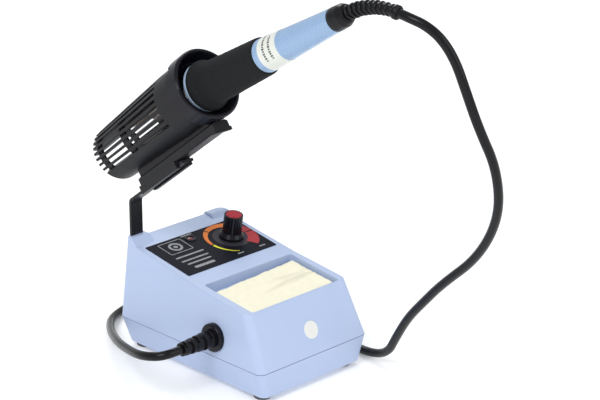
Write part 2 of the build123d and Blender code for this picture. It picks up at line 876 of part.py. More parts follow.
# ---------------------------------------------------------------- the iron
core_radius = 8.0
handle_bore = 4.4
barrel_radius = 4.4
barrel_low = -62.0
tip_low = -98.0
handle_low_radius = 11.2
handle_mid_radius = 9.5
handle_mid = 96.0
guard_radius = 16.4
guard_low = -4.5
guard_high = -1.5

with BuildPart() as iron_handle:
    add(
        turned(
            iron_side,
            iron_axis,
            [
                (handle_bore, guard_high),
                (core_radius, guard_high),
                (core_radius, grip_length),
                (handle_low_radius, grip_length),
                (handle_mid_radius, handle_mid),
                (8.7, 112),
                (7.75, handle_end),
                (handle_bore, handle_end),
            ],
        )
    )
save(iron_handle, "iron_handle")

with BuildPart() as guard_flange:
    add(
        turned(
            iron_side,
            iron_axis,
            [
                (barrel_radius, guard_low),
                (guard_radius - 1, guard_low),
                (guard_radius, guard_low + 0.7),
                (guard_radius, guard_high - 0.7),
                (guard_radius - 1, guard_high),
                (barrel_radius, guard_high),
            ],
        )
    )
save(guard_flange, "guard_flange")

with BuildPart() as foam_grip:
    add(
        turned(
            iron_side,
            iron_axis,
            [
                (core_radius, guard_high),
                (16.4, guard_high),
                (17.0, 0.5),
                (16.2, 3),
                (14.4, 7),
                (12.5, grip_length - 1),
                (11.7, grip_length),
                (core_radius, grip_length),
            ],
        )
    )
save(foam_grip, "foam_grip")

band_low = grip_length + 5
band_high = grip_length + 22


def handle_radius(distance):
    """Outer radius of the front taper of the handle."""
    fraction = (distance - grip_length) / (handle_mid - grip_length)
    return handle_low_radius + (handle_mid_radius - handle_low_radius) * fraction


with BuildPart() as rating_band:
    add(
        turned(
            iron_side,
            iron_axis,
            [
                (handle_radius(band_low), band_low),
                (handle_radius(band_low) + 0.15, band_low),
                (handle_radius(band_high) + 0.15, band_high),
                (handle_radius(band_high), band_high),
            ],
        )
    )
save(rating_band, "rating_band")

with BuildPart() as boot_cap:
    add(
        turned(
            iron_side,
            iron_axis,
            [
                (0, handle_end),
                (7.6, handle_end),
                (7.8, handle_end + 2),
                (7.5, boot_start - 4),
                (6.2, boot_start - 1),
                (4.8, boot_start),
                (0, boot_start),
            ],
        )
    )
save(boot_cap, "boot_cap")

boot_from = iron_plane.from_local_coords((0, 0, boot_start))
boot_radius = boot_length / radians(abs(boot_bend))


def boot_plane(fraction):
    """The plane across the boot at a fraction of its length."""
    start = radians(iron_angle)
    turn = radians(boot_bend) * fraction
    y = boot_from.Y - boot_radius * (sin(start) - sin(start + turn))
    z = boot_from.Z - boot_radius * (cos(start) - cos(start + turn))
    direction = (0, -cos(start + turn), sin(start + turn))
    return Plane(origin=(holder_x, y, z), x_dir=(1, 0, 0), z_dir=direction)


boot_steps = 6
with BuildPart() as cord_boot:
    for step in range(boot_steps + 1):
        with BuildSketch(boot_plane(step / boot_steps)):
            Circle(5.2 - 1.3 * step / boot_steps)
    loft(ruled=True)
save(cord_boot, "cord_boot")
boot_end = boot_plane(1).origin
boot_exit = boot_plane(1).from_local_coords(Vector(0, 0, 8.5))

with BuildPart() as iron_barrel:
    add(
        turned(
            iron_side,
            iron_axis,
            [
                (3.6, barrel_low),
                (barrel_radius, barrel_low),
                (barrel_radius, 6),
                (3.6, 6),
            ],
        )
    )
    with BuildSketch(Plane(origin=iron_plane.from_local_coords((0, 0, -56)), z_dir=(1, 0, 0))):
        Circle(1.5)
    extrude(amount=8, mode=Mode.SUBTRACT)
save(iron_barrel, "iron_barrel")

with BuildPart() as tip_screw:
    with BuildSketch(Plane(origin=iron_plane.from_local_coords((0, 0, -56)), z_dir=(1, 0, 0)).offset(3.0)):
        Circle(1.5)
    extrude(amount=3.0)
    with BuildSketch(Plane(origin=iron_plane.from_local_coords((0, 0, -56)), z_dir=(1, 0, 0)).offset(4.6)):
        Circle(2.4)
    extrude(amount=1.8)
save(tip_screw, "tip_screw")

with BuildPart() as heating_element:
    with BuildSketch(iron_plane.offset(-38)):
        Circle(3.4)
    extrude(amount=34)
    with BuildSketch(iron_plane.offset(-4)):
        with Locations((-1.5, 0), (1.5, 0)):
            Circle(0.6)
    extrude(amount=20)
save(heating_element, "heating_element")

with BuildPart() as iron_tip:
    add(
        turned(
            iron_side,
            iron_axis,
            [
                (0, tip_low),
                (0.5, tip_low + 0.6),
                (2.9, tip_low + 15),
                (2.9, -40),
                (0, -40),
            ],
        )
    )
save(iron_tip, "iron_tip")

# ---------------------------------------------------------------- cord
table = cord_diameter / 2
lower_route = [
    (relief_end_x, gland_y, gland_z),
    (-85.5, gland_y, gland_z),
    (-92.2, -21.5, 34.3),
    (-95.5, -14, 32.8),
    (-95, -3.5, 30.3),
    (-89, 13, 26),
    (-76, 42, 19),
    (-53, 78, 10),
    (-29, 105, table + 1),
    (6, 115, table),
    (40, 102, table),
    (62, 76, table),
    (68, 40, table),
    (67, 3, table),
    (61, -33, table),
    (57.5, -65, table),
    (54, -86, 11),
    (48, -99, 29),
    (42, -115, 50),
    (38.2, -131, 66.5),
]
upper_route = [
    (38.15, -131.2, 66.8),
    (34.5, -150, 86),
    (28, -186, 117),
    (17, -211, 154),
    (2, -220, 190),
    (-12, -217, 218),
    (-19, -212, 242),
    (-22.5, -207.5, 258),
    (-27, -201, 271),
    (-32, -192.5, 279),
    (boot_exit.X, boot_exit.Y, boot_exit.Z),
    (boot_end.X, boot_end.Y, boot_end.Z),
]


def cord_tube(route):
    """A cord along straight runs and tangent arcs, each arc as large as its runs allow."""
    points = [Vector(*point) for point in route]
    radii = []
    for before, here, after in zip(points, points[1:], points[2:]):
        turn = (here - before).get_angle(after - here)
        shorter = min((here - before).length, (after - here).length)
        radii.append(0.45 * shorter / tan(radians(turn / 2)))
    print("cord radii", [round(radius) for radius in radii])
    with BuildPart() as tube:
        with BuildLine() as path:
            FilletPolyline(*points, radius=radii)
        with BuildSketch(Plane(origin=path.line @ 0, z_dir=path.line % 0)):
            Circle(cord_diameter / 2)
        sweep()
    length = path.wires()[0].length
    print("cord length", round(length, 1))
    print("volume over section times length", tube.part.volume / (length * pi * cord_diameter**2 / 4))
    return tube


save(cord_tube(lower_route), "cord_lower_run")
save(cord_tube(upper_route), "cord_upper_run")
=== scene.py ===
"""Looks of the soldering station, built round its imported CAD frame.

Metres; -Y is the front, +Z is up."""

import json
from math import cos, pi, radians, sin, tau

import bpy
import numpy as np
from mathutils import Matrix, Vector, noise


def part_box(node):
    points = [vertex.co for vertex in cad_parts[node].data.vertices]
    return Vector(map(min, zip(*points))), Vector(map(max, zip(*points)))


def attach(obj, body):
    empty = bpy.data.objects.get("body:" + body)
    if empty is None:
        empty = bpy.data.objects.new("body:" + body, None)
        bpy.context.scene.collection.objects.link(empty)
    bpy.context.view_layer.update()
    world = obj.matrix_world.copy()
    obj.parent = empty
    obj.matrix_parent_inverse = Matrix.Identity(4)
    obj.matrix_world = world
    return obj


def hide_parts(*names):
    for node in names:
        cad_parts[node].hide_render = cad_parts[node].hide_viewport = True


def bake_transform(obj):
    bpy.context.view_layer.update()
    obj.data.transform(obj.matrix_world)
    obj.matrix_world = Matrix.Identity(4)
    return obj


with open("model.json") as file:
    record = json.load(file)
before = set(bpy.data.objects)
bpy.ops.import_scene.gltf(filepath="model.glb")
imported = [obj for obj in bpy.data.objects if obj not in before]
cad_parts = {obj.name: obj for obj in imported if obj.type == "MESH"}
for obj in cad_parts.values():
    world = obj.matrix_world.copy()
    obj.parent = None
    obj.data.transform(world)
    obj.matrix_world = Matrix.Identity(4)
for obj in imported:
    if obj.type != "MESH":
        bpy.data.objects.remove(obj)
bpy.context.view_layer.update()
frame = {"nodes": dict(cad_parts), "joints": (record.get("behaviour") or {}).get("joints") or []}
MM = 0.001
joints = {joint["name"]: joint for joint in frame["joints"]}


def middle(node):
    """The middle of a CAD node's box."""
    low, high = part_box(node)
    return (low + high) / 2


# ---------------------------------------------------------------- camera, light and floor
def make_camera():
    camera = bpy.data.cameras.new("camera")
    camera.lens = 130.8
    camera.sensor_width = 36
    camera.clip_start = 0.05
    holder = bpy.data.objects.new("camera", camera)
    holder.location = (-0.92922, -1.00255, 0.62292)
    holder.rotation_mode = "QUATERNION"
    holder.rotation_quaternion = Vector((0.6564, 0.6684, -0.3499)).to_track_quat("-Z", "Y")
    bpy.context.scene.collection.objects.link(holder)
    bpy.context.scene.camera = holder


def area_light(name, place, size, power):
    """A square softbox that looks at the middle of the station."""
    light = bpy.data.lights.new(name, "AREA")
    light.size = size
    light.energy = power
    holder = bpy.data.objects.new(name, light)
    holder.location = place
    aim = Vector((0, -0.03, 0.12)) - Vector(place)
    holder.rotation_mode = "QUATERNION"
    holder.rotation_quaternion = aim.to_track_quat("-Z", "Y")
    bpy.context.scene.collection.objects.link(holder)


def make_studio():
    world = bpy.data.worlds.new("studio")
    world.use_nodes = True
    background = world.node_tree.nodes["Background"]
    background.inputs["Color"].default_value = (0.96, 0.98, 1.0, 1)
    background.inputs["Strength"].default_value = 0.6
    bpy.context.scene.world = world
    bpy.context.scene.view_settings.view_transform = "Standard"
    area_light("key", (-1.3, -0.5, 1.5), 0.9, 17)
    area_light("fill", (0.5, -1.7, 0.9), 1.2, 8)
    area_light("back", (0.7, 1.2, 1.3), 0.8, 8)
    reach = 6.0
    sheet = bpy.data.meshes.new("floor")
    corners = [(-reach, -reach, 0), (reach, -reach, 0), (reach, reach, 0), (-reach, reach, 0)]
    sheet.from_pydata(corners, [], [(0, 1, 2, 3)])
    floor = bpy.data.objects.new("floor", sheet)
    bpy.context.scene.collection.objects.link(floor)
    pale = bpy.data.materials.new("pale_floor")
    pale.use_nodes = True
    shader = pale.node_tree.nodes["Principled BSDF"]
    shader.inputs["Base Color"].default_value = (0.92, 0.92, 0.92, 1)
    shader.inputs["Roughness"].default_value = 0.85
    shader.inputs["Emission Color"].default_value = (1, 1, 1, 1)
    shader.inputs["Emission Strength"].default_value = 0.22
    sheet.materials.append(pale)


# ---------------------------------------------------------------- materials
def noise_node(tree, coords, size, detail=3.0, stretch=(1, 1, 1)):
    """A noise texture whose features are about size metres across, in the station's own frame."""
    scale = tree.nodes.new("ShaderNodeMapping")
    scale.inputs["Scale"].default_value = stretch
    tree.links.new(coords.outputs["Object"], scale.inputs["Vector"])
    texture = tree.nodes.new("ShaderNodeTexNoise")
    texture.inputs["Scale"].default_value = 1 / size
    texture.inputs["Detail"].default_value = detail
    tree.links.new(scale.outputs["Vector"], texture.inputs["Vector"])
    return texture


def finish_of(name, colour, roughness, grain, bump, vary=0.06, spots=0.012, **shader_values):
    """A moulded, painted or machined surface: uneven colour, uneven gloss and a fine grain.

    grain is the size of the fine texture and bump its height, in metres. vary is how far the colour
    strays, over patches of the size spots. shader_values go to the shader's sockets of that name."""
    material = bpy.data.materials.new(name)
    material.use_nodes = True
    tree = material.node_tree
    shader = tree.nodes["Principled BSDF"]
    for socket, value in shader_values.items():
        shader.inputs[socket.replace("_", " ")].default_value = value
    coords = tree.nodes.new("ShaderNodeTexCoord")
    cloud = noise_node(tree, coords, spots)
    tint = tree.nodes.new("ShaderNodeMix")
    tint.data_type = "RGBA"
    tint.inputs["A"].default_value = (*(channel * (1 - vary) for channel in colour), 1)
    tint.inputs["B"].default_value = (*(min(1, channel * (1 + vary)) for channel in colour), 1)
    tree.links.new(cloud.outputs["Fac"], tint.inputs["Factor"])
    tree.links.new(tint.outputs["Result"], shader.inputs["Base Color"])
    fine = noise_node(tree, coords, grain, 2.0)
    gloss = tree.nodes.new("ShaderNodeMapRange")
    gloss.inputs["To Min"].default_value = roughness * 0.85
    gloss.inputs["To Max"].default_value = min(1, roughness * 1.15)
    tree.links.new(fine.outputs["Fac"], gloss.inputs["Value"])
    tree.links.new(gloss.outputs["Result"], shader.inputs["Roughness"])
    relief = tree.nodes.new("ShaderNodeBump")
    relief.inputs["Strength"].default_value = 1.0
    relief.inputs["Distance"].default_value = bump
    tree.links.new(fine.outputs["Fac"], relief.inputs["Height"])
    tree.links.new(relief.outputs["Normal"], shader.inputs["Normal"])
    return material


def heat_colours(material, joint):
    """Colours the dial's band by its angle round the knob, from yellow at low heat to red."""
    tree = material.node_tree
    shader = tree.nodes["Principled BSDF"]
    coords = tree.nodes.new("ShaderNodeTexCoord")
    normal = Vector(joint["axis"])
    up_slope = normal.cross(Vector((1, 0, 0)))
    from_centre = tree.nodes.new("ShaderNodeVectorMath")
    from_centre.operation = "SUBTRACT"
    from_centre.inputs[1].default_value = joint["pos_m"]
    tree.links.new(coords.outputs["Object"], from_centre.inputs[0])
    along = []
    for direction in ((1, 0, 0), up_slope):
        dot = tree.nodes.new("ShaderNodeVectorMath")
        dot.operation = "DOT_PRODUCT"
        dot.inputs[1].default_value = direction
        tree.links.new(from_centre.outputs["Vector"], dot.inputs[0])
        along.append(dot.outputs["Value"])
    angle = tree.nodes.new("ShaderNodeMath")
    angle.operation = "ARCTAN2"
    # measured clockwise from straight down the slope, where the band has its gap
    tree.links.new(along[0], angle.inputs[0])
    tree.links.new(along[1], angle.inputs[1])
    share = tree.nodes.new("ShaderNodeMapRange")
    share.inputs["From Min"].default_value = -pi
    share.inputs["From Max"].default_value = pi
    tree.links.new(angle.outputs["Value"], share.inputs["Value"])
    ramp = tree.nodes.new("ShaderNodeValToRGB")
    ramp.color_ramp.interpolation = "CONSTANT"
    stops = ((0.0, YELLOW), (0.235, ORANGE), (0.58, DEEP_ORANGE), (0.66, RED))
    while len(ramp.color_ramp.elements) < len(stops):
        ramp.color_ramp.elements.new(0.5)
    for element, (place, colour) in zip(ramp.color_ramp.elements, stops):
        element.position = place
        element.color = (*colour, 1)
    tree.links.new(share.outputs["Result"], ramp.inputs["Fac"])
    tree.links.new(ramp.outputs["Color"], shader.inputs["Base Color"])


YELLOW = (0.82, 0.76, 0.04)
ORANGE = (0.75, 0.19, 0.02)
DEEP_ORANGE = (0.68, 0.13, 0.02)
RED = (0.42, 0.025, 0.035)

housing_blue = finish_of("housing_blue", (0.45, 0.545, 0.765), 0.42, 0.0005, 0.00001, 0.02, 0.02)
handle_blue = finish_of(
    "handle_blue", (0.27, 0.41, 0.62), 0.27, 0.0008, 0.0000012, 0.03, 0.012, Coat_Weight=0.3
)
guard_blue = finish_of("guard_blue", (0.52, 0.70, 0.92), 0.3, 0.0008, 0.000006, 0.03)
foam = finish_of(
    "foam", (0.013, 0.014, 0.015), 0.85, 0.0007, 0.00016, 0.4, 0.0012, Specular_IOR_Level=0.15
)
black_mould = finish_of(
    "black_mould", (0.010, 0.010, 0.012), 0.38, 0.0006, 0.00002, 0.2, 0.006, Specular_IOR_Level=0.2
)
black_gloss = finish_of(
    "black_gloss", (0.006, 0.006, 0.010), 0.22, 0.0009, 0.000004, 0.2, 0.006, Specular_IOR_Level=0.22
)
jacket = finish_of(
    "jacket", (0.007, 0.007, 0.008), 0.22, 0.0015, 0.000002, 0.2, 0.01, Specular_IOR_Level=0.2
)
soft_black = finish_of(
    "soft_black", (0.006, 0.006, 0.008), 0.3, 0.0007, 0.00001, 0.25, 0.004, Specular_IOR_Level=0.22
)
feet_rubber = finish_of("feet_rubber", (0.10, 0.10, 0.105), 0.75, 0.0006, 0.00004, 0.2, 0.004)
arm_paint = finish_of(
    "arm_paint", (0.009, 0.009, 0.012), 0.33, 0.0009, 0.00002, 0.3, 0.005, Specular_IOR_Level=0.25
)
label_film = finish_of(
    "label_film", (0.009, 0.010, 0.016), 0.5, 0.0012, 0.000004, 0.15, 0.008, Specular_IOR_Level=0.05
)
pale_ink = finish_of(
    "pale_ink", (0.30, 0.31, 0.33), 0.5, 0.0004, 0.00001, 0.95, 0.0009, Specular_IOR_Level=0.1
)
grey_ink = finish_of(
    "grey_ink", (0.040, 0.038, 0.050), 0.5, 0.0006, 0.00001, 0.2, 0.002, Specular_IOR_Level=0.1
)
heat_ink = finish_of("heat_ink", ORANGE, 0.42, 0.0006, 0.00001, 0.05, Specular_IOR_Level=0.15)
white_film = finish_of("white_film", (0.80, 0.80, 0.77), 0.35, 0.0010, 0.000008, 0.03, 0.004)
band_film = finish_of("band_film", (0.74, 0.76, 0.70), 0.35, 0.0010, 0.000008, 0.04, 0.004)
dark_ink = finish_of("dark_ink", (0.03, 0.035, 0.05), 0.5, 0.0005, 0.000006, 0.3, 0.001)
cap_red = finish_of(
    "cap_red", (0.42, 0.012, 0.028), 0.45, 0.0007, 0.00002, 0.12, 0.003, Specular_IOR_Level=0.15
)
lens_red = finish_of(
    "lens_red", (0.16, 0.006, 0.008), 0.12, 0.0015, 0.000004, 0.2, 0.002,
    Coat_Weight=0.6, Transmission_Weight=0.15,
)
steel = finish_of("steel", (0.52, 0.50, 0.47), 0.3, 0.0005, 0.00001, 0.1, 0.006, Metallic=1.0)
tip_metal = finish_of(
    "tip_metal", (0.30, 0.24, 0.20), 0.42, 0.0006, 0.00002, 0.35, 0.004, Metallic=1.0
)
aluminium = finish_of(
    "aluminium", (0.62, 0.62, 0.64), 0.35, 0.0004, 0.00001, 0.06, 0.006, Metallic=1.0
)
brass = finish_of("brass", (0.62, 0.46, 0.16), 0.3, 0.0006, 0.00001, 0.1, 0.004, Metallic=1.0)
board_brown = finish_of("board_brown", (0.22, 0.12, 0.04), 0.5, 0.0008, 0.00001, 0.2, 0.003)
part_case = finish_of("part_case", (0.30, 0.22, 0.05), 0.35, 0.0008, 0.00001, 0.1, 0.004)
terminal_green = finish_of("terminal_green", (0.03, 0.22, 0.07), 0.4, 0.0008, 0.00001, 0.1, 0.004)
ceramic = finish_of("ceramic", (0.7, 0.68, 0.62), 0.7, 0.0005, 0.00002, 0.08, 0.003)
glass = finish_of(
    "glass", (0.85, 0.9, 0.9), 0.06, 0.002, 0.000002, 0.02, 0.01, Transmission_Weight=0.8
)
heat_colours(heat_ink, joints["knob_turn"])


def ribbed(material, direction, pitch, height):
    """Turns a finish into one with fine ridges across direction. pitch and height are in metres."""
    tree = material.node_tree
    shader = tree.nodes["Principled BSDF"]
    coords = tree.nodes.new("ShaderNodeTexCoord")
    along = tree.nodes.new("ShaderNodeVectorMath")
    along.operation = "DOT_PRODUCT"
    along.inputs[1].default_value = Vector(direction) * tau / pitch
    tree.links.new(coords.outputs["Object"], along.inputs[0])
    wave = tree.nodes.new("ShaderNodeMath")
    wave.operation = "SINE"
    tree.links.new(along.outputs["Value"], wave.inputs[0])
    ridges = tree.nodes.new("ShaderNodeBump")
    ridges.inputs["Distance"].default_value = height / 2
    tree.links.new(wave.outputs["Value"], ridges.inputs["Height"])
    tree.links.new(shader.inputs["Normal"].links[0].from_socket, ridges.inputs["Normal"])
    tree.links.new(ridges.outputs["Normal"], shader.inputs["Normal"])
    return material


barrel_steel = finish_of(
    "barrel_steel", (0.50, 0.45, 0.40), 0.32, 0.0005, 0.00001, 0.2, 0.004, Metallic=1.0
)
ribbed(barrel_steel, joints["iron_draw"]["axis"], 0.0016, 0.0004)


def sponge_finish():
    """Cream cellulose with open pores and a faint grey scorch across its middle."""
    cream = (0.94, 0.90, 0.70)
    material = finish_of("cellulose", cream, 0.9, 0.0009, 0.0001, 0.05, 0.005, Sheen_Weight=0.2)
    tree = material.node_tree
    shader = tree.nodes["Principled BSDF"]
    coords = tree.nodes.new("ShaderNodeTexCoord")
    plain = shader.inputs["Base Color"].links[0].from_socket
    stain = noise_node(tree, coords, 0.022, 2.0, (0.45, 2.2, 1.0))
    where = tree.nodes.new("ShaderNodeMapRange")
    where.inputs["From Min"].default_value = 0.52
    where.inputs["From Max"].default_value = 0.72
    where.inputs["To Max"].default_value = 0.4
    tree.links.new(stain.outputs["Fac"], where.inputs["Value"])
    mix = tree.nodes.new("ShaderNodeMix")
    mix.data_type = "RGBA"
    mix.inputs["B"].default_value = (0.42, 0.40, 0.31, 1)
    tree.links.new(where.outputs["Result"], mix.inputs["Factor"])
    tree.links.new(plain, mix.inputs["A"])
    tree.links.new(mix.outputs["Result"], shader.inputs["Base Color"])
    return material


cellulose = sponge_finish()

CAD_FINISHES = {
    "lower_shell": housing_blue,
    "upper_shell": housing_blue,
    "rubber_feet": feet_rubber,
    "case_screws": steel,
    "face_label": label_film,
    "dial_segments": heat_ink,
    "label_marks": pale_ink,
    "led_bezel": black_gloss,
    "power_light": lens_red,
    "round_sticker": white_film,
    "pot_body": aluminium,
    "pot_nut": steel,
    "circuit_board": board_brown,
    "board_screws": steel,
    "triac": black_mould,
    "heat_sink": aluminium,
    "capacitor": part_case,
    "choke": part_case,
    "fuse": glass,
    "fuse_clips": brass,
    "terminal_block": terminal_green,
    "gland_flange": black_gloss,
    "mains_gland": soft_black,
    "holder_arm": arm_paint,
    "holder_cage": black_mould,
    "funnel_ring": black_gloss,
    "knob": black_gloss,
    "knob_cap": cap_red,
    "pointer_line": grey_ink,
    "pot_shaft": aluminium,
    "iron_handle": handle_blue,
    "guard_flange": guard_blue,
    "rating_band": band_film,
    "boot_cap": soft_black,
    "iron_barrel": barrel_steel,
    "heating_element": ceramic,
    "iron_tip": tip_metal,
    "tip_screw": steel,
}


def dress_cad_nodes():
    for node, material in CAD_FINISHES.items():
        for place in frame["nodes"][node].material_slots:
            place.material = material


# ---------------------------------------------------------------- mesh tools
def add_piece(name, points, faces, material, smooth=True):
    mesh = bpy.data.meshes.new(name)
    mesh.from_pydata([tuple(point) for point in points], [], faces)
    mesh.materials.append(material)
    for face in mesh.polygons:
        face.use_smooth = smooth
    mesh.update()
    piece = bpy.data.objects.new(name, mesh)
    bpy.context.scene.collection.objects.link(piece)
    return piece


def rings_along(line, first_side):
    """(centre, side, other side) at each point of a line, with the least turn from one to the next."""
    line = np.array([tuple(point) for point in line], float)
    ahead = np.gradient(line, axis=0)
    ahead /= np.linalg.norm(ahead, axis=1)[:, None]
    side = np.array(first_side, float)
    found = []
    for centre, forward in zip(line, ahead):
        side = side - forward * (side @ forward)
        side /= np.linalg.norm(side)
        found.append((centre, side, np.cross(forward, side)))
    return found


def skin(name, line, radius, material, sides=48, first_side=(1, 0, 0), smooth=True):
    """A closed skin round a line. radius(number of the ring, angle) is in metres."""
    points, faces = [], []
    rings = rings_along(line, first_side)
    for number, (centre, side, other) in enumerate(rings):
        for step in range(sides):
            angle = tau * step / sides
            points.append(centre + radius(number, angle) * (side * cos(angle) + other * sin(angle)))
    for number in range(len(rings) - 1):
        for step in range(sides):
            here, beside = number * sides + step, number * sides + (step + 1) % sides
            faces.append((here, beside, beside + sides, here + sides))
    faces.append(tuple(reversed(range(sides))))
    faces.append(tuple(range((len(rings) - 1) * sides, len(rings) * sides)))
    return add_piece(name, points, faces, material, smooth)


def sharpen(piece, angle=35):
    """Smooth shading that keeps edges sharper than angle degrees."""
    piece.data.set_sharp_from_angle(angle=radians(angle))
    return piece


# ---------------------------------------------------------------- the cord
CORD_DIAMETER = 6 * MM
LOWER_ROUTE = [
    (-0.0775, -0.0250, 0.0355),
    (-0.0855, -0.0250, 0.0355),
    (-0.0922, -0.0215, 0.0343),
    (-0.0955, -0.0140, 0.0328),
    (-0.0950, -0.0035, 0.0303),
    (-0.0890, 0.0130, 0.0260),
    (-0.0760, 0.0420, 0.0190),
    (-0.0530, 0.0780, 0.0100),
    (-0.0290, 0.1050, 0.0040),
    (0.0060, 0.1150, 0.0030),
    (0.0400, 0.1020, 0.0030),
    (0.0620, 0.0760, 0.0030),
    (0.0680, 0.0400, 0.0030),
    (0.0670, 0.0030, 0.0030),
    (0.0610, -0.0330, 0.0030),
    (0.0575, -0.0650, 0.0030),
    (0.0540, -0.0860, 0.0110),
    (0.0480, -0.0990, 0.0290),
    (0.0420, -0.1150, 0.0500),
    (0.0382, -0.1310, 0.0665),
]
UPPER_ROUTE = [
    (0.0345, -0.1500, 0.0860),
    (0.0280, -0.1860, 0.1170),
    (0.0170, -0.2110, 0.1540),
    (0.0020, -0.2200, 0.1900),
    (-0.0120, -0.2170, 0.2180),
    (-0.0190, -0.2120, 0.2420),
    (-0.0225, -0.2075, 0.2580),
    (-0.0270, -0.2010, 0.2710),
    (-0.0320, -0.1925, 0.2790),
    (-0.0365, -0.18331, 0.28262),
    (-0.0365, -0.1750, 0.28379),
]


def smooth_line(route, resolution=12):
    """Points along the NURBS spline whose control points are the route."""
    curve = bpy.data.curves.new("route", "CURVE")
    curve.dimensions = "3D"
    spline = curve.splines.new("NURBS")
    spline.points.add(len(route) - 1)
    for control, place in zip(spline.points, route):
        control.co = (*place, 1)
    spline.order_u = 3
    spline.use_endpoint_u = True
    spline.resolution_u = resolution
    holder = bpy.data.objects.new("route", curve)
    mesh = bpy.data.meshes.new_from_object(holder)
    line = [vertex.co.copy() for vertex in mesh.vertices]
    bpy.data.meshes.remove(mesh)
    bpy.data.objects.remove(holder)
    bpy.data.curves.remove(curve)
    return line


def make_cord():
    line = smooth_line(LOWER_ROUTE + UPPER_ROUTE)
    cord = skin("iron_cord", line, lambda number, angle: CORD_DIAMETER / 2, jacket, 24, (0, 0, 1))
    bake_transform(cord)
    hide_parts("cord_lower_run", "cord_upper_run")


# ---------------------------------------------------------------- the iron's soft parts
iron_direction = Vector(joints["iron_draw"]["axis"]).normalized()
mouth = middle("guard_flange") + iron_direction * 3 * MM  # the CAD's zero along the iron
drop_side = Vector((1, 0, 0)).cross(iron_direction)
BOOT_START = 145 * MM
BOOT_LENGTH = 42 * MM
BOOT_TURN = radians(38.2)


def along_iron(distance):
    return mouth + iron_direction * distance


def boot_line(steps):
    """The boot's middle line: an arc that starts along the handle and bends down."""
    start = along_iron(BOOT_START)
    bend_radius = BOOT_LENGTH / BOOT_TURN
    line = []
    for step in range(steps + 1):
        turn = BOOT_TURN * step / steps
        sideways = bend_radius * (1 - cos(turn))
        line.append(start + iron_direction * bend_radius * sin(turn) + drop_side * sideways)
    return line


def make_boot():
    """The coiled spring of the cord boot, wound loosely round the cord, with its end collar."""
    turns, steps, sides = 10.5, 420, 40
    core_steps, end_steps = 120, 60
    wire = 1.15 * MM
    core = boot_line(core_steps)
    outer = np.linspace(5.1, 3.95, steps) * MM
    frames = rings_along(boot_line(steps - 1), (1, 0, 0))
    coil = []
    for step, (centre, side, other) in enumerate(frames):
        share = step / (steps - 1)
        wobble = 0.35 * noise.noise(Vector((share * 9, 0.7, 0)))
        angle = tau * turns * share + wobble
        reach = outer[step] - wire + 0.25 * MM * noise.noise(Vector((share * 21, 3.1, 0)))
        coil.append(Vector(centre + reach * (side * cos(angle) + other * sin(angle))))
    spring = skin("boot_spring", coil, lambda number, angle: wire, soft_black, 12, (1, 0, 0))
    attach(spring, "iron")

    def sleeve_radius(number, angle):
        share = number / core_steps
        return (3.75 - 0.35 * share) * MM

    sleeve = skin("boot_sleeve", core, sleeve_radius, soft_black, sides)
    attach(sleeve, "iron")
    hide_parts("cord_boot")
    end_frames = boot_line(end_steps)[-6:]
    profile = (0.0, 4.1, 4.5, 4.5, 4.1, 0.0)
    shares = (0, 0.02, 0.2, 0.8, 0.98, 1)
    collar_line = [end_frames[0].lerp(end_frames[-1], share) for share in shares]

    def collar_radius(number, angle):
        return max(profile[number], 0.05) * MM

    collar = skin("boot_end_ring", collar_line, collar_radius, soft_black, sides)
    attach(collar, "iron")


def make_grip():
    """The foam sleeve: a flared lip against the guard, a slight waist and a rolled rear edge."""
    # (distance along the iron, radius), in millimetres
    profile = [
        (-1.5, 8.2), (-1.5, 15.9), (-1.2, 16.6), (-0.3, 16.95), (0.8, 16.95), (2.0, 16.5),
        (3.2, 15.9), (4.6, 15.1), (6.2, 14.5), (9.0, 14.25), (14, 14.1), (22, 13.8), (30, 13.5),
        (38, 13.25), (46, 13.0), (54, 12.75), (59, 12.6), (61, 12.45), (62.2, 12.1), (62.8, 11.6),
        (62.95, 11.3), (62.95, 8.2),
    ]
    distances, radii = zip(*profile)
    order = np.linspace(0, len(profile) - 1, 150)
    steps = np.interp(order, range(len(profile)), distances)
    reach = np.interp(order, range(len(profile)), radii)
    line = [along_iron(step * MM) for step in steps]
    points, faces, sides = [], [], 96
    for centre, ring in zip(line, reach):
        for step in range(sides):
            angle = tau * step / sides
            way = Vector((1, 0, 0)) * cos(angle) + drop_side * sin(angle)
            spot = centre + way * ring * MM
            dent = 0.10 * MM * noise.noise(spot * 260) + 0.05 * MM * noise.noise(spot * 900)
            points.append(spot + way * dent)
    for number in range(len(line) - 1):
        for step in range(sides):
            here, beside = number * sides + step, number * sides + (step + 1) % sides
            faces.append((here, beside, beside + sides, here + sides))
    first, last = tuple(range(sides)), tuple(range((len(line) - 1) * sides, len(line) * sides))
    for step in range(sides):
        beside = (step + 1) % sides
        faces.append((first[beside], first[step], last[step], last[beside]))
    grip = add_piece("foam_sleeve", points, faces, foam)
    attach(grip, "iron")
    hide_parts("foam_grip")


TAPER_START, TAPER_END = 63, 96  # the handle's front taper, in millimetres along the iron
TAPER_START_RADIUS, TAPER_END_RADIUS = 11.2, 9.5
INK_LIFT = 0.2


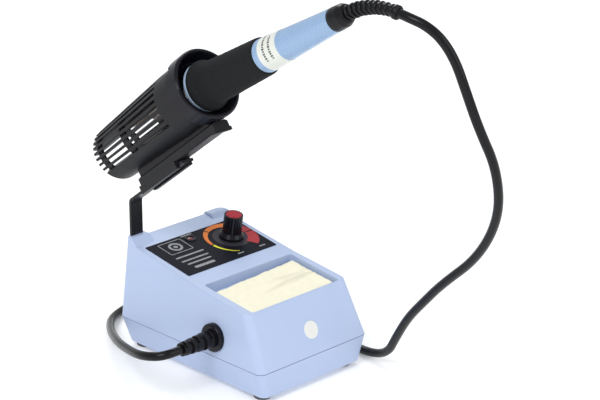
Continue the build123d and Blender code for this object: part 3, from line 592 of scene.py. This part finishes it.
def make_rating_marks():
    """Generic dark dashes round the rating band, in two rows, in place of its print."""
    rows = ((73.5, 2.0, 16), (79.0, 2.0, 11))
    points, faces = [], []
    for row_distance, width, dashes in rows:
        for dash in range(dashes):
            start = radians(150 + dash * 8.2)
            sweep = radians(4.5 + 1.5 * ((dash * 7) % 3) / 2)
            for step in range(5):
                angle = start + sweep * step / 4
                for edge in (-0.5, 0.5):
                    distance = row_distance + edge * width * (0.7 + 0.3 * ((dash * 5) % 2))
                    share = (distance - TAPER_START) / (TAPER_END - TAPER_START)
                    surface = TAPER_START_RADIUS + (TAPER_END_RADIUS - TAPER_START_RADIUS) * share
                    radius = surface + INK_LIFT
                    way = Vector((1, 0, 0)) * cos(angle) + drop_side * sin(angle)
                    points.append(along_iron(distance * MM) + way * radius * MM)
                if step:
                    last = len(points) - 4
                    faces.append((last, last + 1, last + 3, last + 2))
    marks = add_piece("rating_marks", points, faces, dark_ink)
    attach(marks, "iron")


# ---------------------------------------------------------------- the box's soft parts and print
def make_dial_disc():
    """The dark grey disc printed on the label round the knob."""
    normal = Vector(joints["knob_turn"]["axis"]).normalized()
    across = Vector((1, 0, 0))
    up_slope = normal.cross(across)
    centre = Vector(joints["knob_turn"]["pos_m"])
    points, faces, sides = [], [], 96
    for radius, lift in ((7.2, 0.0), (7.2, 0.05), (13.2, 0.05), (13.2, 0.0)):
        for step in range(sides):
            angle = tau * step / sides
            way = across * cos(angle) + up_slope * sin(angle)
            points.append(centre + way * radius * MM + normal * lift * MM)
    for ring in range(4):
        for step in range(sides):
            here, beside = ring * sides + step, ring * sides + (step + 1) % sides
            above, above_beside = (here + sides) % (4 * sides), (beside + sides) % (4 * sides)
            faces.append((here, above, above_beside, beside))
    disc = sharpen(add_piece("dial_disc", points, faces, grey_ink))
    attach(disc, "station")


def make_relief():
    """The ringed strain relief at the side: rings joined by webs that change sides from gap to gap."""
    low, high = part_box("strain_relief")
    centre = middle("gland_flange")
    start = Vector((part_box("gland_flange")[0].x + 0.5 * MM, centre.y, centre.z))
    end = Vector((low.x, centre.y, centre.z))
    rings, steps, sides = 5, 200, 64
    line = [start.lerp(end, step / steps) for step in range(steps + 1)]

    def radius(number, angle):
        share = number / steps
        place = share * rings
        ring, within = min(int(place), rings - 1), place - min(int(place), rings - 1)
        outer = (6.4 - 1.5 * ring / (rings - 1)) * MM
        inner = outer - 1.5 * MM
        if ring == rings - 1 and within > 0.8:
            return outer - 0.3 * MM
        if within < 0.56:
            edge = min(within, 0.56 - within) / 0.07
            return outer - 0.25 * MM * (1 - min(1, max(0, edge)))
        web = abs(cos(angle + (pi / 2 if ring % 2 else 0)))
        return outer - 0.3 * MM if web > 0.86 else inner

    relief = sharpen(skin("relief_rings", line, radius, soft_black, sides, (0, 1, 0)))
    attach(relief, "station")
    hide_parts("strain_relief")


def make_sponge():
    """A damp cellulose sponge with ragged edges, lying a little askew in its recess."""
    low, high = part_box("sponge")
    normal = Vector(joints["sponge_lift"]["axis"]).normalized()
    across = Vector((1, 0, 0))
    up = normal.cross(across)
    centre = middle("sponge")
    half_width = (high.x - low.x) / 2 - 0.3 * MM
    half_depth = 42.9 / 2 * MM - 0.3 * MM
    half_height = 6.3 / 2 * MM
    columns, rows = 170, 96
    corners = {(-1, -1): (0.1, 0.2), (1, -1): (0.2, 0.2), (1, 1): (0.6, 0.4), (-1, 1): (1.6, 4.6)}
    points, faces, index = [], [], {}

    def outline_inset(u, v):
        """How far the corners and torn edges draw in, in metres."""
        pull_x = pull_y = 0
        for (side_u, side_v), (in_x, in_y) in corners.items():
            weight = (1 + side_u * u) * (1 + side_v * v) / 4
            pull_x -= side_u * in_x * weight
            pull_y -= side_v * in_y * weight
        ragged = 0.7 * noise.noise(Vector((u * 9, v * 9, 0.3)))
        ragged += 0.3 * noise.noise(Vector((u * 31, v * 31, 2)))
        rim = max(abs(u), abs(v)) ** 8
        return pull_x + ragged * rim * u, pull_y + ragged * rim * v

    for layer in (1, -1):
        for row in range(rows + 1):
            for column in range(columns + 1):
                u, v = 2 * column / columns - 1, 2 * row / rows - 1
                in_x, in_y = outline_inset(u, v)
                x = u * half_width + in_x * MM
                y = v * half_depth + in_y * MM
                height = layer * half_height
                if layer == 1:
                    spot = Vector((x, y, 0))
                    edge = max(abs(u), abs(v)) ** 14
                    pores = noise.voronoi(spot * 620)[0][0] * 0.45 - 0.25
                    waves = 0.35 * noise.noise(spot * 60) + 0.22 * noise.noise(spot * 240)
                    small = 0.16 * noise.noise(spot * 900)
                    height += (waves + small + min(0, pores) * 0.9 - 0.9 * edge - 0.15) * MM
                index[layer, row, column] = len(points)
                points.append(centre + across * x + up * y + normal * height)
    for layer in (1, -1):
        for row in range(rows):
            for column in range(columns):
                quad = [
                    index[layer, row, column],
                    index[layer, row, column + 1],
                    index[layer, row + 1, column + 1],
                    index[layer, row + 1, column],
                ]
                faces.append(tuple(quad if layer == 1 else reversed(quad)))
    for row in range(rows):
        for column, order in ((0, 1), (columns, -1)):
            quad = [
                index[1, row, column],
                index[1, row + 1, column],
                index[-1, row + 1, column],
                index[-1, row, column],
            ]
            faces.append(tuple(quad[::order]))
    for column in range(columns):
        for row, order in ((0, -1), (rows, 1)):
            quad = [
                index[1, row, column],
                index[1, row, column + 1],
                index[-1, row, column + 1],
                index[-1, row, column],
            ]
            faces.append(tuple(quad[::order]))
    sponge = add_piece("damp_sponge", points, faces, cellulose)
    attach(sponge, "sponge")
    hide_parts("sponge")


make_camera()
make_studio()
dress_cad_nodes()
make_cord()
make_boot()
make_grip()
make_rating_marks()
make_relief()
make_sponge()
make_dial_disc()
